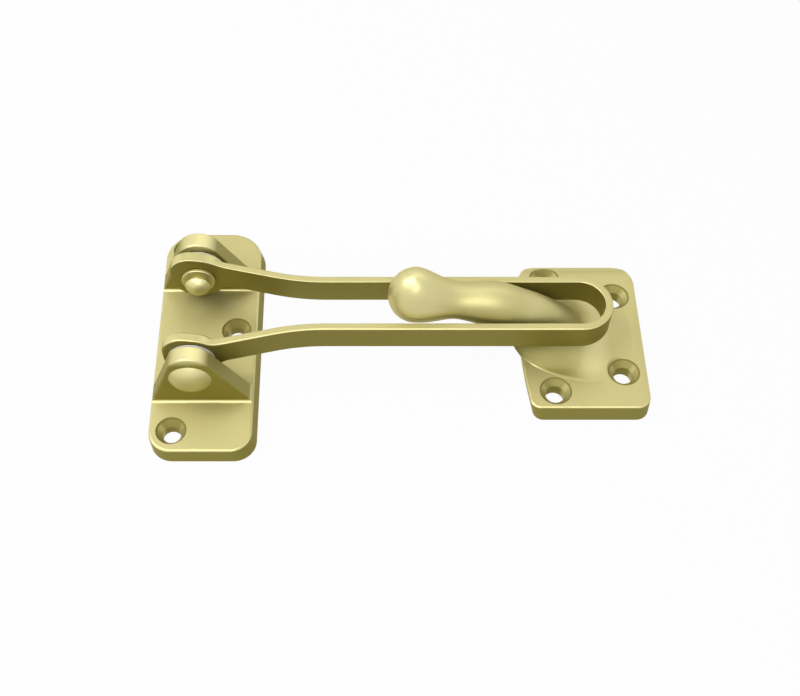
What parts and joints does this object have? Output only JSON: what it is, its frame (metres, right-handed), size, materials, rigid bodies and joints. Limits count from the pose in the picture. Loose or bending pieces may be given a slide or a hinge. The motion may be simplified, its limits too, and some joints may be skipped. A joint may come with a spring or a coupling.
{
  "type": "door guard",
  "caption": "Brass door guard: a U-shaped swing bar pivots between two lugs on a plate, and its slot takes the ball end of a curved horn on a separate keeper plate.",
  "frame": {"origin": "on the back of the hinge plate, under the middle of its top face", "axes": "+X from the hinge plate towards the keeper, +Y along the pivot, +Z away from the door"},
  "size_m": [0.1333, 0.0734, 0.0327],
  "materials": {
    "brass": "satin",
    "nylon": "smooth nylon"
  },
  "bodies": {
    "plates": {"hinge_plate": "brass", "front_rivet": "brass", "rear_rivet": "brass", "front_collar": "brass", "rear_collar": "brass", "front_washer": "nylon", "rear_washer": "nylon", "keeper": "brass"},
    "bar": {"swing_bar": "brass"}
  },
  "joints": [
    {"name": "bar_swing", "type": "hinge", "parent": "plates", "child": "bar", "pos_m": [-0.0022, 0, 0.0151], "axis": [0, -1, 0], "range_deg": [0, 180]}
  ]
}
